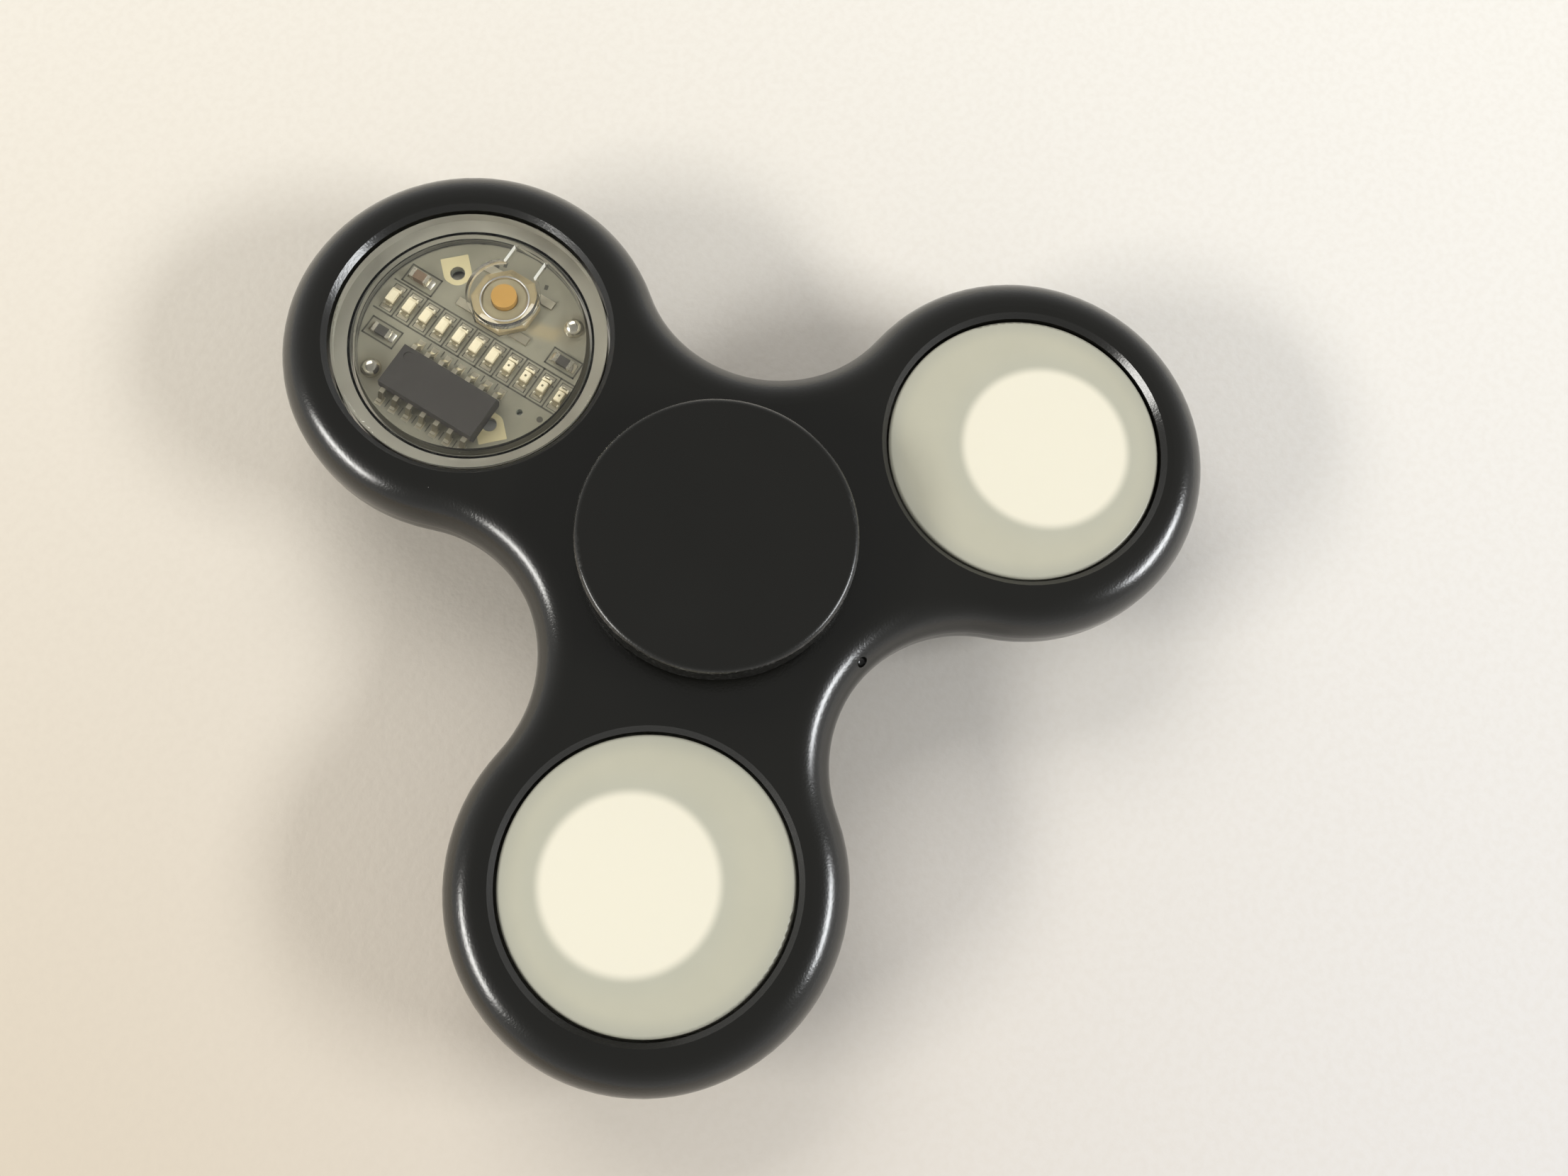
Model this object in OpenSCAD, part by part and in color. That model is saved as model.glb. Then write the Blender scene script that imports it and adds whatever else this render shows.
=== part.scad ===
// Three-lobed fidget spinner whose +Y lobe holds a lit message board.
// Units are millimetres. The origin is the centre of the bottom finger cap's flat face and +Z is up.

/* [Body] */
// Distance from the hub's axis to each lobe's axis
lobe_offset = 25.7616; // [25.2:0.0001:28]
// Outer radius of each lobe
lobe_r = 14.95; // [14.6:0.05:16]
// Thickness of the body
body_t = 7; // [7:0.1:9]
// Radius of the rounding along the body's outer edges
edge_r = 3; // [1:0.1:3.3]
// Radius of the pocket through each lobe
pocket_r = 11; // [10.8:0.05:11.4]
// Width of the chamfer at the mouths of the pockets and the bearing seat
mouth_chamfer = 0.4; // [0.1:0.05:0.5]
// Radius of the moulding-gate dimple in one valley
gate_dimple_r = 0.45; // [0.3:0.05:0.8]

/* [Finger caps] */
// Radius of each finger cap
cap_r = 10.65; // [8:0.05:12]
// Thickness of each finger cap's disc
cap_t = 3.1; // [2:0.1:4]
// Height of the gap between a finger cap and the body
cap_gap = 0.4; // [0.3:0.05:1]
// Rounding of each finger cap's outer edge
cap_edge_r = 0.5; // [0.2:0.05:0.8]
// Radius of the step on each cap that bears on the inner race
cap_step_r = 5.2; // [4.6:0.1:5.4]
// Radius of the top cap's pin, which plugs into the bottom cap's sleeve
cap_pin_r = 2.6; // [2:0.1:3]

/* [Bearing] */
// Radius of the bearing's bore
bearing_bore_r = 4; // [3.9:0.05:4.1]
// Outer radius of the bearing
bearing_outer_r = 9.5; // [9.4:0.05:9.7]
// Width of the bearing
bearing_w = 6; // [5.6:0.1:6.6]
// Wall of each race at its shoulders
race_t = 1.6; // [1.5:0.05:1.7]
// Number of balls
ball_count = 7; // [5:1:8]
// Diameter of each ball
ball_d = 3.175; // [2.9:0.005:3.3]
// Radial thickness of the ball cage
cage_t = 1; // [0.7:0.05:1.2]
// Thickness of each shield
shield_t = 0.3; // [0.2:0.05:0.4]
// Depth of each shield's outer face below the end of the bearing
shield_recess = 0.2; // [0.1:0.05:0.4]
// Width of the step in the outer race that each shield seats in
shield_seat_w = 0.4; // [0.3:0.05:0.5]

/* [Lobe capsules] */
// Depth of a capsule's face below the face of the body
capsule_recess = 0.45; // [0.2:0.05:0.6]
// Shadow gap between a capsule's visible face and its pocket
lens_gap = 0.2; // [0.1:0.05:0.4]
// Wall of a capsule, from its visible edge in to its hollow
capsule_wall = 1.7; // [1.4:0.1:1.8]
// Thickness of a capsule's cover
cover_t = 0.7; // [0.5:0.05:0.8]
// Thickness of a capsule's floor
floor_t = 0.6; // [0.4:0.05:0.8]
// Height of the lip by which the cup stands above the circuit board
cup_lip_h = 0.5; // [0.3:0.1:0.8]

/* [Press tongue] */
// Radius of the tongue's round end, over the switch
tongue_r = 2.7; // [2.2:0.1:2.9]
// Width of the tongue's neck
neck_w = 2.6; // [2:0.1:3]
// Distance from the capsule's inner wall in to the neck's root, where the tongue flexes
neck_inset = 0.5; // [0.4:0.05:0.9]
// Width of the slot around the tongue
slot_w = 0.25; // [0.2:0.05:0.4]

/* [Circuit board] */
// Thickness of the circuit board
board_t = 0.8; // [0.6:0.1:0.9]
// Turn of the board's layout about the lobe's axis, in degrees
board_turn = 9.25; // [-20:0.25:20]
// Width of the rim of the board that the cup carries
board_seat_w = 0.6; // [0.5:0.05:0.6]
// Radius of the two spare battery-clip holes
spare_hole_r = 0.6; // [0.4:0.05:0.7]
// Distance from the board's edge in to each spare hole
spare_hole_inset = 2.65; // [2.5:0.05:2.9]

/* [Lights] */
// Number of lights in the row
led_count = 11; // [7:1:11]
// Gap between the row's end lights and the capsule's inner wall
led_end_gap = 0.715; // [0.6:0.005:1.2]
// Length of a light, across the row
led_l = 1.7; // [1.4:0.1:1.9]
// Width of a light, along the row
led_w = 0.85; // [0.7:0.05:1]
// Height of a light
led_h = 0.5; // [0.4:0.05:0.7]

/* [Controller chip] */
// Length of the chip's moulded body
chip_l = 8.65; // [8.55:0.05:8.75]
// Width of the chip's moulded body
chip_w = 3.9; // [3.7:0.05:4]
// Height of the chip's moulded body
chip_h = 1.35; // [1.2:0.05:1.4]
// Leads on each side of the chip
leads_per_side = 7; // [4:1:7]
// Spacing of the leads
lead_pitch = 1.27; // [1.2:0.01:1.28]
// Width of a lead
lead_w = 0.42; // [0.3:0.02:0.5]
// Thickness of a lead
lead_t = 0.2; // [0.15:0.01:0.25]
// Reach of a lead beyond the chip's body
lead_reach = 1.05; // [0.9:0.05:1.1]
// Gap between the corner leads and the capsule's inner wall
chip_edge_gap = 0.19; // [0.1:0.01:0.3]

/* [Switch] */
// Width of the switch across its flats
switch_w = 5.2; // [4.8:0.1:5.4]
// Height of the switch's base
switch_h = 0.85; // [0.8:0.05:0.9]
// Thickness of the metal frame on the switch
frame_t = 0.13; // [0.1:0.01:0.15]
// Radius of the plunger's stem
plunger_r = 1.02; // [0.8:0.02:1.2]
// Width of each of the switch's feet
foot_w = 0.7; // [0.5:0.05:0.9]

/* [Chip parts] */
// Length of a capacitor or resistor
passive_l = 1.6; // [1.4:0.1:1.8]
// Width of a capacitor or resistor
passive_w = 0.8; // [0.6:0.05:0.9]
// Height of the capacitor
capacitor_h = 0.8; // [0.6:0.05:1]
// Height of each resistor
resistor_h = 0.45; // [0.35:0.05:0.6]
// Distance from the capsule's inner wall in to the middle of the capacitor and the resistors
passive_inset = 1.8; // [1.7:0.05:2]

/* [Battery] */
// Gap between the coin cell and the wall of the cup around it
cell_margin = 0.7; // [0.7:0.05:2.4]
// Thickness of the coin cell
cell_t = 2; // [1.6:0.1:2]
// Thickness of the battery clip's metal
clip_t = 0.2; // [0.15:0.01:0.25]
// Width of the battery clip
clip_w = 4; // [3:0.1:4.2]
// Radius of each solder joint on the clip's tangs
solder_r = 0.85; // [0.7:0.05:0.85]

/* [Counterweights] */
// Gap left between a weight and the wall of its cup when the weight is central
slug_margin = 2; // [1.8:0.05:3]
// Thickness of each weight
slug_t = 4.4; // [3:0.1:4.5]
// Place of the right weight, from its lobe's axis outwards and then counterclockwise
right_slug_shift = [1.6, -0.55]; // [-2:0.05:2]
// Place of the left weight, from its lobe's axis outwards and then counterclockwise
left_slug_shift = [0.28, -1.25]; // [-2:0.05:2]

/* [Hidden] */
$fn = 96;

// Colours
black_plastic = "#232427";
bright_steel = "#c9cbcd";
race_steel = "#a9acb0";
clear_plastic = "#dfe6e8";
milky_plastic = "#dadbcd";
board_white = "#c3c4b4";
light_cream = "#e6dcbd";
chip_black = "#2c2b28";
solder_grey = "#b9b6ac";
plunger_orange = "#d9a45c";
capacitor_brown = "#8c7158";
resistor_dark = "#3a3835";
gold_plate = "#d8c68e";
weight_white = "#f4efe2";

// Fits and clearances
press_gap = 0.02;
push_gap = 0.01;
ball_gap = 0.06;
running_gap = 0.3;
board_gap = 0.2;
seat_gap = 0.05;
tongue_root_gap = 0.02;
plunger_gap = 0.12;
cut = 1;

// Heights of the body, the bearing and the caps
body_z = cap_t + cap_gap;
body_top_z = body_z + body_t;
mid_z = body_z + body_t / 2;
total_h = 2 * mid_z;
bearing_z = mid_z - bearing_w / 2;
bearing_top_z = mid_z + bearing_w / 2;

// Angles of the lobes
board_angle = 90;
right_angle = -30;
left_angle = 210;
lobe_angles = [board_angle, right_angle, left_angle];
valley_r = lobe_offset - lobe_r;
body_edge = min(edge_r, body_t / 2 - 0.1, lobe_r - pocket_r - mouth_chamfer - 0.3);
gate_valley = left_angle + 60;
gate_turn = -2.9;
gate_tilt = 41;

// Bearing
ball_r = ball_d / 2;
ball_pitch_r = (bearing_bore_r + bearing_outer_r) / 2;
groove_r = ball_r + ball_gap;
inner_shoulder_r = bearing_bore_r + race_t;
outer_shoulder_r = bearing_outer_r - race_t;
shield_seat_r = outer_shoulder_r + shield_seat_w;
shield_gap = 0.2;
cage_half_h = bearing_w / 2 - shield_recess - shield_t - running_gap;

// Finger caps
cap_sleeve_r = bearing_bore_r - push_gap;
cap_engage_gap = 0.1;

// Capsules
lens_r = pocket_r - lens_gap;
hollow_r = lens_r - capsule_wall;
cup_r = pocket_r - press_gap;
capsule_z = body_z + capsule_recess;
capsule_top_z = body_top_z - capsule_recess;
cover_z = capsule_top_z - cover_t;
floor_top_z = capsule_z + floor_t;
lens_edge_r = 0.25;
cup_step_z = capsule_z + 0.5;

// Board stack, from the capsule's floor up
clip_z = floor_top_z + seat_gap;
cell_z = clip_z + clip_t;
contact_t = 0.1;
contact_z = cell_z + cell_t;
board_z = contact_z + contact_t;
board_top_z = board_z + board_t;
board_r = hollow_r + board_gap;
cup_hollow_r = board_r + board_gap;
cup_lip_z = board_top_z + cup_lip_h;
spigot_r = cup_hollow_r - seat_gap;
cup_seat_r = board_r - board_seat_w;
cell_d = 2 * (cup_seat_r - cell_margin);
slug_d = 2 * (cup_seat_r - slug_margin);

// Board layout, in the board's own turned frame: x across the row of lights, y along it
led_row_y = -0.17;
led_pitch = 2 * (hollow_r - led_end_gap - led_w / 2) / (led_count - 1);
led_base_h = 0.2;
led_lens_l = led_l - 0.6;
chip_y = -0.2;
lead_row_end = lead_pitch * (leads_per_side - 1) / 2 + lead_w / 2 - chip_y;
lead_tip_x = sqrt(pow(hollow_r - chip_edge_gap, 2) - pow(lead_row_end, 2));
chip_pos = [chip_w / 2 + lead_reach - lead_tip_x, chip_y];
chip_standoff = 0.1;
chip_draft = 0.12;
lead_z = 0.65;
lead_top_run = 0.22;
lead_foot_run = 0.35;
pin_dimple_r = 0.4;
pin_dimple_depth = 0.06;
pin_dimple_inset = 0.85;
chip_lead_x = chip_pos[0] + chip_w / 2 + lead_reach;
across_slack = hollow_r - chip_lead_x - led_l - switch_w;
led_row_x = chip_lead_x + 0.2843 * across_slack + led_l / 2;
switch_x = led_row_x + led_l / 2 + 0.2418 * across_slack + switch_w / 2;
switch_pos = [switch_x, -0.05];
neck_root = hollow_r - neck_inset;
switch_corner = 1.3;
switch_well_r = 1.9;
switch_well_floor = 0.25;
frame_inset = 0.1;
frame_hole_r = 1.5;
dome_r = 1.6;
dome_h = 0.25;
dome_t = 0.08;
flange_r = 1.75;
flange_t = 0.15;
flange_z = switch_well_floor + dome_h + 0.03;
foot_x = 1.85;
foot_reach = 0.75;
foot_t = 0.18;
plunger_top = cover_z - board_top_z - plunger_gap;
capacitor_angle = 68.6;
pullup_resistor_angle = 112.2;
supply_resistor_angle = -67.5;
passive_end = 0.3;
passive_neck = 0.03;
via_angle = -112.8;
via_r = 0.25;
spare_hole_offset = board_r - spare_hole_inset;
spare_hole_angle = 45;
clip_angle = 135;
clip_reach = cell_d / 2 + seat_gap;
tang_w = 1.1;
tang_top = 0.3;
solder_h = 0.75;
contact_r = 5;
cell_rim = 0.8;
cell_cap_h = 0.3;

function polar(r, a) = [r * cos(a), r * sin(a)];

// ---- Shared shapes ----

// Half section of a disc of radius r and thickness t with edges rounded to e
module rounded_section(r, t, e) {
    square([r - e, t]);
    translate([0, e]) square([r, t - 2 * e]);
    translate([r - e, e]) circle(e);
    translate([r - e, t - e]) circle(e);
}

// Half section of a disc with only its upper edge rounded
module lens_section(r, t, e) {
    square([r - e, t]);
    square([r, t - e]);
    translate([r - e, t - e]) circle(e);
}

// Ring of rectangular section
module ring(r_in, r_out, h) {
    difference() {
        cylinder(r = r_out, h = h);
        translate([0, 0, -cut]) cylinder(r = r_in, h = h + 2 * cut);
    }
}

// Moves children from a lobe's axis to its place, with x pointing outwards
module at_lobe(angle) {
    rotate([0, 0, angle]) translate([lobe_offset, 0, 0]) children();
}

// Moves children to the top of the circuit board, in the board's turned frame
module on_board(pos = [0, 0]) {
    translate([0, lobe_offset, board_top_z]) rotate([0, 0, board_turn]) translate(pos) children();
}

// ---- Body ----

// Hexagonal prism whose corners are the axes of the lobes and of the valleys between them. The outline's
// arcs are tangent on its sides, so the web fills it and the lobes start where it ends.
module hexagon(margin) {
    translate([0, 0, body_z - margin])
        linear_extrude(body_t + 2 * margin)
            polygon([for (i = [0:5]) polar(lobe_offset, board_angle + 60 * i)]);
}

// Cutter for one valley, with the body's rounded edge along its top and bottom
module valley_cutter(angle) {
    translate(concat(polar(lobe_offset, angle), [body_z]))
        rotate_extrude() difference() {
            square([valley_r + body_edge, body_t]);
            translate([valley_r, body_edge]) square([body_edge + cut, body_t - 2 * body_edge]);
            translate([valley_r + body_edge, body_edge]) circle(body_edge);
            translate([valley_r + body_edge, body_t - body_edge]) circle(body_edge);
        }
}

// Bore of radius r through the body, chamfered at both mouths
module body_bore(r) {
    wide = r + mouth_chamfer + cut;
    translate([0, 0, body_z]) rotate_extrude() polygon([
        [0, -cut], [wide, -cut], [r, mouth_chamfer],
        [r, body_t - mouth_chamfer], [wide, body_t + cut], [0, body_t + cut]
    ]);
}

// Pit left by the moulding gate on the rounded edge of one valley
module gate_dimple() {
    pit_z = body_top_z - body_edge + body_edge * sin(gate_tilt);
    translate(concat(polar(lobe_offset, gate_valley), [pit_z]))
        rotate([0, 0, gate_valley + 180 + gate_turn])
            translate([valley_r + body_edge - body_edge * cos(gate_tilt), 0, 0])
                rotate([0, gate_tilt, 0]) sphere(gate_dimple_r);
}

// Middle of the body, inside the hexagon
module web() {
    difference() {
        hexagon(0);
        for (a = lobe_angles) valley_cutter(a + 60);
        body_bore(bearing_outer_r + push_gap);
        for (a = lobe_angles) translate(polar(lobe_offset, a)) body_bore(pocket_r);
        gate_dimple();
    }
}

// One lobe, outside the hexagon
module lobe(angle) {
    translate(polar(lobe_offset, angle)) difference() {
        translate([0, 0, body_z]) rotate_extrude() rounded_section(lobe_r, body_t, body_edge);
        translate(-polar(lobe_offset, angle)) hexagon(cut);
        body_bore(pocket_r);
    }
}

module spinner_body() {
    color(black_plastic) {
        web();
        for (a = lobe_angles) lobe(a);
    }
}

// ---- Bearing ----

// Torus that the balls run in
module ball_groove() {
    translate([0, 0, mid_z]) rotate_extrude() translate([ball_pitch_r, 0]) circle(groove_r);
}

// Race before its groove and shield seats are cut
module race_blank(r_in, r_out) {
    translate([0, 0, bearing_z]) ring(r_in, r_out, bearing_w);
}

module bearing_outer_race() {
    color(race_steel) difference() {
        race_blank(outer_shoulder_r, bearing_outer_r);
        ball_groove();
        for (z = [bearing_z - cut, bearing_top_z - shield_recess - shield_t])
            translate([0, 0, z]) cylinder(r = shield_seat_r, h = shield_recess + shield_t + cut);
    }
}

module bearing_inner_race() {
    color(race_steel) difference() {
        race_blank(bearing_bore_r, inner_shoulder_r);
        ball_groove();
    }
}

module bearing_shield(z) {
    color(bright_steel)
        translate([0, 0, z]) ring(inner_shoulder_r + shield_gap, shield_seat_r, shield_t);
}

// Children at each ball's place, with x pointing outwards
module at_balls() {
    for (i = [0:ball_count - 1])
        rotate([0, 0, 360 * i / ball_count]) translate([ball_pitch_r, 0, mid_z]) children();
}

module bearing_balls() {
    color(bright_steel) at_balls() sphere(ball_r);
}

module bearing_cage() {
    color(solder_grey) difference() {
        translate([0, 0, mid_z - cage_half_h])
            ring(ball_pitch_r - cage_t / 2, ball_pitch_r + cage_t / 2, 2 * cage_half_h);
        at_balls() translate([-cage_t, 0, 0]) rotate([0, 90, 0])
            cylinder(r = ball_r + ball_gap, h = 2 * cage_t);
    }
}

// ---- Finger caps ----

// Disc of a finger cap with its flat face at z = 0 and its step towards the bearing
module cap_disc() {
    rotate_extrude() rounded_section(cap_r, cap_t, cap_edge_r);
    cylinder(r = cap_step_r, h = bearing_z);
}

module top_finger_cap() {
    pin_h = bearing_w - cap_engage_gap;
    color(black_plastic) {
        translate([0, 0, total_h]) mirror([0, 0, 1]) cap_disc();
        translate([0, 0, bearing_top_z - pin_h]) cylinder(r = cap_pin_r, h = pin_h + cut);
    }
}

module bottom_finger_cap() {
    sleeve_h = bearing_w - cap_engage_gap;
    color(black_plastic) difference() {
        union() {
            cap_disc();
            translate([0, 0, bearing_z - cut]) cylinder(r = cap_sleeve_r, h = sleeve_h + cut);
        }
        translate([0, 0, bearing_z]) cylinder(r = cap_pin_r + push_gap, h = bearing_w);
    }
}

// ---- Capsules ----

// Cup that presses into a pocket from below; seat_r is the radius of the hollow below the board
module cup(seat_r) {
    difference() {
        union() {
            translate([0, 0, capsule_z]) cylinder(r = lens_r, h = cup_step_z - capsule_z + cut);
            translate([0, 0, cup_step_z]) cylinder(r = cup_r, h = cup_lip_z - cup_step_z);
        }
        translate([0, 0, floor_top_z]) cylinder(r = seat_r, h = body_t);
        translate([0, 0, board_z]) cylinder(r = cup_hollow_r, h = body_t);
    }
}

// Cover that closes a cup, with a spigot that reaches down inside the cup's lip
module cover() {
    difference() {
        union() {
            translate([0, 0, cup_lip_z])
                rotate_extrude() lens_section(lens_r, capsule_top_z - cup_lip_z, lens_edge_r);
            translate([0, 0, board_top_z]) cylinder(r = spigot_r, h = cup_lip_h + cut / 2);
        }
        translate([0, 0, board_top_z - cut]) cylinder(r = hollow_r, h = cover_z - board_top_z + cut);
    }
}

// Outline of the press tongue, grown by a margin
module tongue_outline(margin, root) {
    translate(switch_pos) circle(tongue_r + margin);
    translate([switch_pos[0], switch_pos[1] - neck_w / 2 - margin])
        square([root - switch_pos[0], neck_w + 2 * margin]);
}

module clear_cup() {
    color(clear_plastic, 0.4) at_lobe(board_angle) cup(cup_seat_r);
}

module clear_cover() {
    color(clear_plastic, 0.4) difference() {
        at_lobe(board_angle) cover();
        on_board() linear_extrude(body_t) tongue_outline(slot_w, neck_root + tongue_root_gap);
    }
}

module press_tongue() {
    color(clear_plastic, 0.4)
        on_board() translate([0, 0, cover_z - board_top_z])
            linear_extrude(cover_t) tongue_outline(0, neck_root);
}

module diffuser(angle) {
    color(milky_plastic) at_lobe(angle) cover();
}

module weight_cup(angle) {
    color(milky_plastic) at_lobe(angle) cup(cup_seat_r);
}

module weight(angle, shift) {
    color(weight_white) at_lobe(angle)
        translate([shift[0], shift[1], floor_top_z]) cylinder(d = slug_d, h = slug_t);
}

// ---- Circuit board ----

module circuit_board() {
    color(board_white) translate([0, 0, -board_t]) difference() {
        on_board() cylinder(r = board_r, h = board_t);
        on_board() for (a = [spare_hole_angle, spare_hole_angle + 180])
            translate(concat(polar(spare_hole_offset, a), [-cut]))
                cylinder(r = spare_hole_r, h = board_t + 2 * cut);
        on_board(polar(spare_hole_offset, via_angle)) translate([0, 0, -cut])
            cylinder(r = via_r, h = board_t + 2 * cut);
        on_board() for (a = [clip_angle, clip_angle + 180]) rotate([0, 0, a])
            translate([clip_reach - push_gap, -tang_w / 2 - push_gap, -cut])
                cube([clip_t + 2 * push_gap, tang_w + 2 * push_gap, board_t + 2 * cut]);
    }
}

// One light: a thin carrier with its moulded lens on top
module light(i) {
    y = led_row_y + led_pitch * ((led_count + 1) / 2 - i);
    if (i <= led_count) color(light_cream) on_board([led_row_x, y]) {
        translate([-led_l / 2, -led_w / 2, 0]) cube([led_l, led_w, led_base_h]);
        translate([-led_lens_l / 2, -led_w / 2, 0]) cube([led_lens_l, led_w, led_h]);
    }
}

module controller_chip() {
    half = chip_w / 2;
    band = [lead_z - chip_standoff, lead_z - chip_standoff + lead_t];
    right_side = [[half - chip_draft, 0], [half, band[0]], [half, band[1]], [half - chip_draft, chip_h]];
    left_side = [for (i = [3:-1:0]) [-right_side[i][0], right_side[i][1]]];
    color(chip_black) on_board(chip_pos) translate([0, 0, chip_standoff]) difference() {
        translate([0, chip_l / 2, 0]) rotate([90, 0, 0])
            linear_extrude(chip_l) polygon(concat(right_side, left_side));
        translate([half - pin_dimple_inset, chip_l / 2 - pin_dimple_inset, chip_h - pin_dimple_depth])
            cylinder(r = pin_dimple_r, h = cut);
    }
}

// One gull-wing lead in its own plane, from the chip's side down to the board
module lead_section() {
    knee = lead_top_run;
    heel = lead_reach - lead_foot_run - lead_t / 2;
    polygon([
        [0, lead_z], [knee, lead_z], [heel, 0], [lead_reach, 0],
        [lead_reach, lead_t], [heel + lead_t, lead_t], [knee + lead_t, lead_z + lead_t], [0, lead_z + lead_t]
    ]);
}

module chip_leads() {
    color(solder_grey) on_board(chip_pos) for (side = [0, 1]) mirror([side, 0, 0])
        for (i = [0:leads_per_side - 1])
            translate([chip_w / 2, lead_pitch * (i - (leads_per_side - 1) / 2) + lead_w / 2, 0])
                rotate([90, 0, 0]) linear_extrude(lead_w) lead_section();
}

// ---- Switch ----

// Octagonal outline of the switch, drawn in by an inset
module switch_outline(inset) {
    half = switch_w / 2 - inset;
    flat = half - switch_corner;
    polygon([
        [half, -flat], [half, flat], [flat, half], [-flat, half],
        [-half, flat], [-half, -flat], [-flat, -half], [flat, -half]
    ]);
}

module switch_base() {
    color(light_cream) on_board(switch_pos) difference() {
        linear_extrude(switch_h) switch_outline(0);
        translate([0, 0, switch_well_floor]) cylinder(r = switch_well_r, h = switch_h);
    }
}

module switch_frame() {
    color(bright_steel) on_board(switch_pos) translate([0, 0, switch_h]) difference() {
        linear_extrude(frame_t) switch_outline(frame_inset);
        translate([0, 0, -cut]) cylinder(r = frame_hole_r, h = frame_t + 2 * cut);
    }
}

module switch_dome() {
    crown = dome_h - dome_t;
    color(bright_steel) on_board(switch_pos) translate([0, 0, switch_well_floor]) rotate_extrude()
        polygon([
            [0, crown], [dome_r / 2, crown * 0.9], [dome_r * 0.8, crown * 0.5], [dome_r, 0],
            [dome_r, dome_t], [dome_r * 0.8, crown * 0.5 + dome_t],
            [dome_r / 2, crown * 0.9 + dome_t], [0, dome_h]
        ]);
}

module switch_plunger() {
    color(plunger_orange) on_board(switch_pos) {
        translate([0, 0, flange_z]) cylinder(r = flange_r, h = flange_t);
        translate([0, 0, flange_z]) cylinder(r = plunger_r, h = plunger_top - flange_z);
    }
}

module switch_feet() {
    color(solder_grey) on_board(switch_pos) for (sx = [0, 1], sy = [0, 1])
        mirror([sx, 0, 0]) mirror([0, sy, 0]) difference() {
            translate([foot_x - foot_w / 2, switch_w / 2 - switch_corner, 0])
                cube([foot_w, switch_corner + foot_reach, foot_t]);
            translate([0, 0, -cut]) linear_extrude(foot_t + 2 * cut) switch_outline(0);
        }
}

// ---- Chip parts ----

// Part with plated ends; its length lies along the row of lights
module passive(angle, h) {
    on_board(polar(hollow_r - passive_inset, angle)) {
        translate([-passive_w / 2 + passive_neck, -passive_l / 2, 0])
            cube([passive_w - 2 * passive_neck, passive_l, h - passive_neck]);
        for (side = [0, 1]) mirror([0, side, 0])
            translate([-passive_w / 2, passive_l / 2 - passive_end, 0]) cube([passive_w, passive_end, h]);
    }
}

module chip_capacitor() {
    color(capacitor_brown) passive(capacitor_angle, capacitor_h);
}

module pullup_resistor() {
    color(resistor_dark) passive(pullup_resistor_angle, resistor_h);
}

module supply_resistor() {
    color(resistor_dark) passive(supply_resistor_angle, resistor_h);
}

// ---- Battery ----

// Children in the clip's own frame: x along the clip, z from the plane of the part's base
module on_clip(z) {
    translate([0, lobe_offset, z]) rotate([0, 0, board_turn + clip_angle]) children();
}

module coin_cell() {
    color(bright_steel) on_clip(cell_z) {
        cylinder(d = cell_d, h = cell_t - cell_cap_h);
        cylinder(d = cell_d - 2 * cell_rim, h = cell_t);
    }
}

// One leg of the clip and the tang above it that passes through the board
module clip_leg() {
    translate([clip_reach, -clip_w / 2, 0]) cube([clip_t, clip_w, board_z - clip_z]);
    translate([clip_reach, -tang_w / 2, 0]) cube([clip_t, tang_w, board_top_z + tang_top - clip_z]);
}

module battery_clip() {
    color(bright_steel) on_clip(clip_z) {
        translate([-clip_reach - clip_t, -clip_w / 2, 0])
            cube([2 * (clip_reach + clip_t), clip_w, clip_t]);
        for (a = [0, 180]) rotate([0, 0, a]) clip_leg();
    }
}

module battery_contact() {
    color(gold_plate) on_clip(contact_z) cylinder(r = contact_r, h = contact_t);
}

// Solder domes over the tangs of the battery clip
module solder_joints() {
    ball = (solder_r * solder_r + solder_h * solder_h) / (2 * solder_h);
    color(solder_grey) on_clip(board_top_z) for (a = [0, 180]) rotate([0, 0, a]) difference() {
        intersection() {
            translate([clip_reach + clip_t / 2, 0, solder_h - ball]) sphere(ball);
            translate([clip_reach + clip_t / 2 - cut, -cut, 0]) cube([2 * cut, 2 * cut, cut]);
        }
        translate([clip_reach, -tang_w / 2, -cut]) cube([clip_t, tang_w, cut + tang_top]);
    }
}

spinner_body();
bearing_outer_race();
bearing_shield(bearing_top_z - shield_recess - shield_t);  // top_bearing_shield
bearing_shield(bearing_z + shield_recess);  // bottom_bearing_shield
top_finger_cap();
bottom_finger_cap();
bearing_inner_race();
bearing_balls();
bearing_cage();
clear_cup();
clear_cover();
press_tongue();
circuit_board();
light(1);  // light_01
light(2);  // light_02
light(3);  // light_03
light(4);  // light_04
light(5);  // light_05
light(6);  // light_06
light(7);  // light_07
light(8);  // light_08
light(9);  // light_09
light(10);  // light_10
light(11);  // light_11
controller_chip();
chip_leads();
switch_base();
switch_frame();
switch_dome();
switch_plunger();
switch_feet();
chip_capacitor();
pullup_resistor();
supply_resistor();
coin_cell();
battery_clip();
battery_contact();
solder_joints();
diffuser(right_angle);  // right_diffuser
weight_cup(right_angle);  // right_weight_cup
weight(right_angle, right_slug_shift);  // right_weight
diffuser(left_angle);  // left_diffuser
weight_cup(left_angle);  // left_weight_cup
weight(left_angle, left_slug_shift);  // left_weight
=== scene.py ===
"""Dresses a packed three-lobed light-up hand spinner: its finishes, fine board detail, studio and camera.

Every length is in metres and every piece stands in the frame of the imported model.
"""

import logging
import math
from dataclasses import dataclass, field
from enum import Enum
from typing import Callable, Iterable, Sequence

import bmesh
import bpy
from mathutils import Matrix, Vector

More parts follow.
